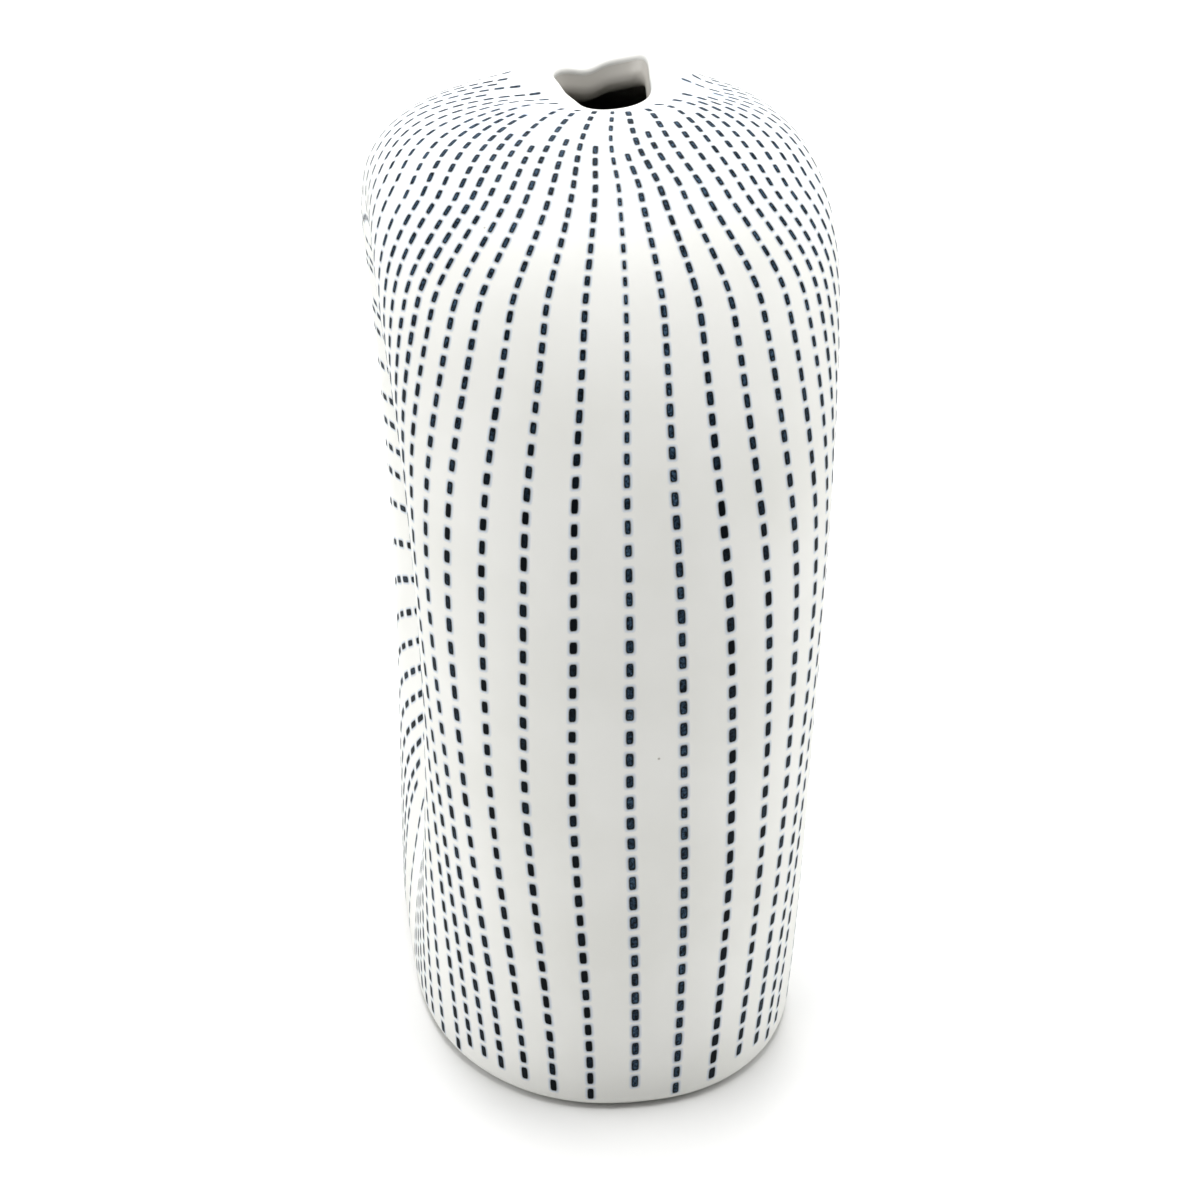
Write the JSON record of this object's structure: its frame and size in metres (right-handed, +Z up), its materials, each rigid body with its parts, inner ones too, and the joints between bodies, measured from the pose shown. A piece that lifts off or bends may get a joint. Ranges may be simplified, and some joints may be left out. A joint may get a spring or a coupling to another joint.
{
  "type": "pillow vase",
  "caption": "Small upright porcelain vase with a rounded crown, a small oval mouth and a pressed-in hollow in each broad face, banded with rows of dark blue dashes.",
  "frame": {"origin": "middle of the flat foot, on the surface the vase stands on", "axes": "+Z up, X along the vase's width, Y through its thickness from one broad face to the other; the picture looks at the +X end"},
  "size_m": [0.125, 0.0774, 0.165],
  "materials": {
    "porcelain": "matt bisque",
    "clear_glaze": "gloss",
    "cobalt_slip": "matt underglaze colour"
  },
  "bodies": {
    "root": {"porcelain_body": "porcelain", "liner_glaze": "clear_glaze"}
  },
  "joints": []
}
